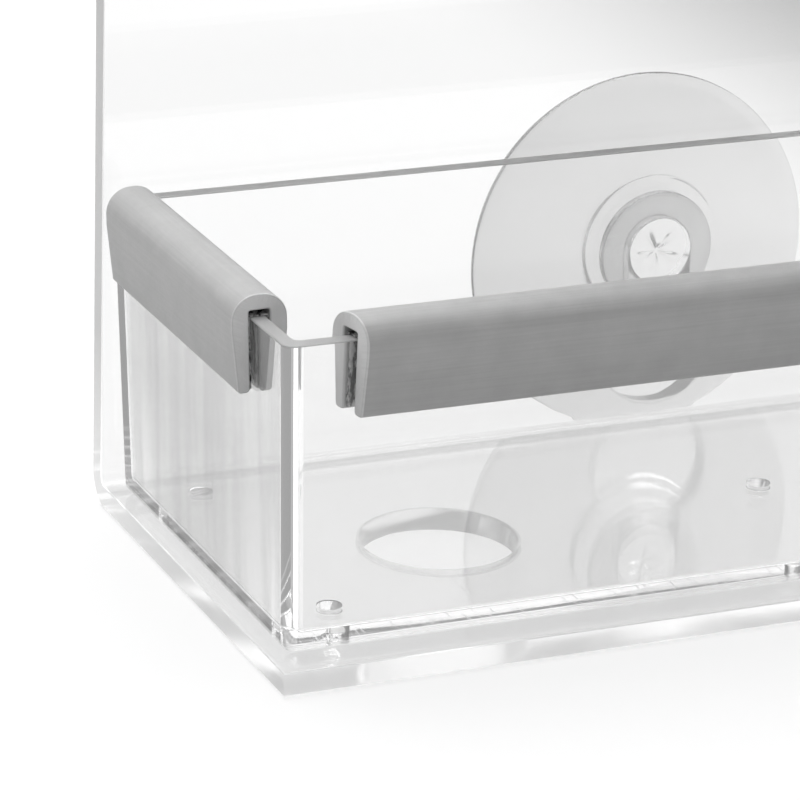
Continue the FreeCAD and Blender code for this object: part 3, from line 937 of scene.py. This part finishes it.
# side, length, oblique cut and the seed of its unevenness
for side, length, skew, seed in (("left", SIDE_LENGTH, SIDE_SKEW, 1.0),
                                 ("right", SIDE_LENGTH, SIDE_SKEW, 2.0),
                                 ("front", FRONT_LENGTH, FRONT_SKEW, 3.0)):
    matrix = trim_frame(side)
    verts, faces, slots, uv = build_strip(length, skew, seed)
    add("perch_" + side, "perch_trim_" + side, "tray",
        (moved(verts, matrix), faces, slots, uv), (rubber_side, rubber_rim_highlight, rubber_cut))
    verts, faces = build_glue(length - 2 * GLUE_MARGIN, skew, seed)
    add("adhesive_" + side, "trim_adhesive_" + side, "tray",
        (moved(verts, matrix), faces), (film,))

for number, name in enumerate(CUP_NODES):
    x, level = CUPS[name]
    body = name.replace("suction_cup", "cup")
    add(name.replace("suction_", "vinyl_"), name, body,
        build_cup(x, level, number * 1.3), (vinyl,))


# ---------------------------------------------------------------- floor, light and camera, in metres
# axis, from, to, radiance at each: the glow behind the object and the one overhead
SKY = (("Y", 0.2, 0.75, 0.12, 1.1), ("Z", 0.25, 0.8, 0.12, 0.9))
# half size of the table, and its distance under the object
FLOOR_REACH, FLOOR_GAP = 3.0, 0.0004
# axis, middle, half width and soft edge of the lit part of the table
GLOW = (("X", -0.04, 0.095, 0.12), ("Y", 0.1, 0.27, 0.2))
GLOW_LOW, GLOW_HIGH = 0.08, 0.75
CAMERA_SPOT = (-0.25615, -0.46522, 0.20922)
CAMERA_TURNS = (23.781, 20.196, 1.839)       # degrees to the right, down, and about the view
CAMERA_LENS, SENSOR = 193.3, 36.0


def build_floor():
    """Pale table whose middle is lit from below, fading out beyond what the camera sees."""
    reach = FLOOR_REACH
    mesh = bpy.data.meshes.new("studio_floor")
    mesh.from_pydata([(-reach, -reach, 0), (reach, -reach, 0), (reach, reach, 0), (-reach, reach, 0)], [],
                     [(0, 1, 2, 3)])
    floor = bpy.data.objects.new("studio_floor", mesh)
    bpy.context.scene.collection.objects.link(floor)
    floor.location.z = -FLOOR_GAP
    n = Nodes("studio_floor_paint")
    n.set(Roughness=0.9, Specular_IOR_Level=0.1, Emission_Color=grey(1.0))
    cloud = n.noise(n.place(), 0.004, 3.0)
    tint = n.blend(cloud, "Fac", grey(0.19), grey(0.21))
    n.paint(tint)
    split = n.split(n.place((MM, MM, MM)))
    glow = None
    for axis, middle, half, soft in GLOW:
        shift = n.add("ShaderNodeMath", operation="SUBTRACT")
        n.join(split, axis, shift, 0)
        shift.inputs[1].default_value = middle
        away = n.add("ShaderNodeMath", operation="ABSOLUTE")
        n.join(shift, "Value", away, 0)
        fade = n.ramp(away, "Value", half, half + soft, 1.0, 0.0)
        fade.interpolation_type = "SMOOTHSTEP"
        if glow is None:
            glow = fade
        else:
            both = n.product(glow, "Result", fade, "Result")
            glow = n.ramp(both, "Value", 0.0, 1.0, GLOW_LOW, GLOW_HIGH)
    n.join(glow, "Result", n.shader, "Emission Strength")
    give(floor, n.material)


def area_light(name, spot, target, size, power):
    light = bpy.data.lights.new(name, "AREA")
    light.shape = "RECTANGLE"
    light.size, light.size_y = size
    light.energy = power
    holder = bpy.data.objects.new(name, light)
    holder.location = spot
    holder.rotation_euler = (Vector(target) - Vector(spot)).to_track_quat("-Z", "Y").to_euler()
    bpy.context.scene.collection.objects.link(holder)


def build_world():
    """Studio surroundings: pale overhead and behind, darker to the sides and towards the camera."""
    world = bpy.data.worlds.new("studio")
    bpy.context.scene.world = world
    world.use_nodes = True
    tree = world.node_tree
    background = tree.nodes["Background"]
    coords = tree.nodes.new("ShaderNodeTexCoord")
    split = tree.nodes.new("ShaderNodeSeparateXYZ")
    tree.links.new(coords.outputs["Generated"], split.inputs[0])
    parts = []
    for axis, start, end, low, high in SKY:
        part = tree.nodes.new("ShaderNodeMapRange")
        part.interpolation_type = "SMOOTHSTEP"
        for inlet, value in zip(("From Min", "From Max", "To Min", "To Max"), (start, end, low, high)):
            part.inputs[inlet].default_value = value
        tree.links.new(split.outputs[axis], part.inputs["Value"])
        parts.append(part)
    brightest = tree.nodes.new("ShaderNodeMath")
    brightest.operation = "MAXIMUM"
    for inlet, part in zip((0, 1), parts):
        tree.links.new(part.outputs["Result"], brightest.inputs[inlet])
    tree.links.new(brightest.outputs["Value"], background.inputs["Color"])
    background.inputs["Strength"].default_value = 1.0


def build_camera():
    yaw, pitch, roll = (math.radians(angle) for angle in CAMERA_TURNS)
    right = Vector((math.cos(yaw), -math.sin(yaw), 0.0))
    ahead = Vector((math.sin(yaw) * math.cos(pitch), math.cos(yaw) * math.cos(pitch), -math.sin(pitch)))
    up = right.cross(ahead)
    right, up = (math.cos(roll) * right + math.sin(roll) * up,
                 math.cos(roll) * up - math.sin(roll) * right)
    data = bpy.data.cameras.new("camera")
    data.lens = CAMERA_LENS
    data.sensor_width = SENSOR
    data.clip_start = 0.01
    data.clip_end = 50.0
    camera = bpy.data.objects.new("camera", data)
    turn = Matrix((right, up, -ahead)).transposed().to_4x4()
    camera.matrix_world = Matrix.Translation(CAMERA_SPOT) @ turn
    bpy.context.scene.collection.objects.link(camera)
    bpy.context.scene.camera = camera


build_floor()
build_world()
area_light("softbox_top", spot=(0.0, 0.25, 1.0), target=(0.0, 0.05, 0.0), size=(1.1, 0.9), power=14.0)
build_camera()

scene = bpy.context.scene
scene.view_settings.view_transform = "Standard"
scene.cycles.max_bounces = 64
scene.cycles.transmission_bounces = 64
scene.cycles.glossy_bounces = 8
scene.cycles.diffuse_bounces = 3
scene.cycles.transparent_max_bounces = 8
scene.cycles.sample_clamp_indirect = 6.0
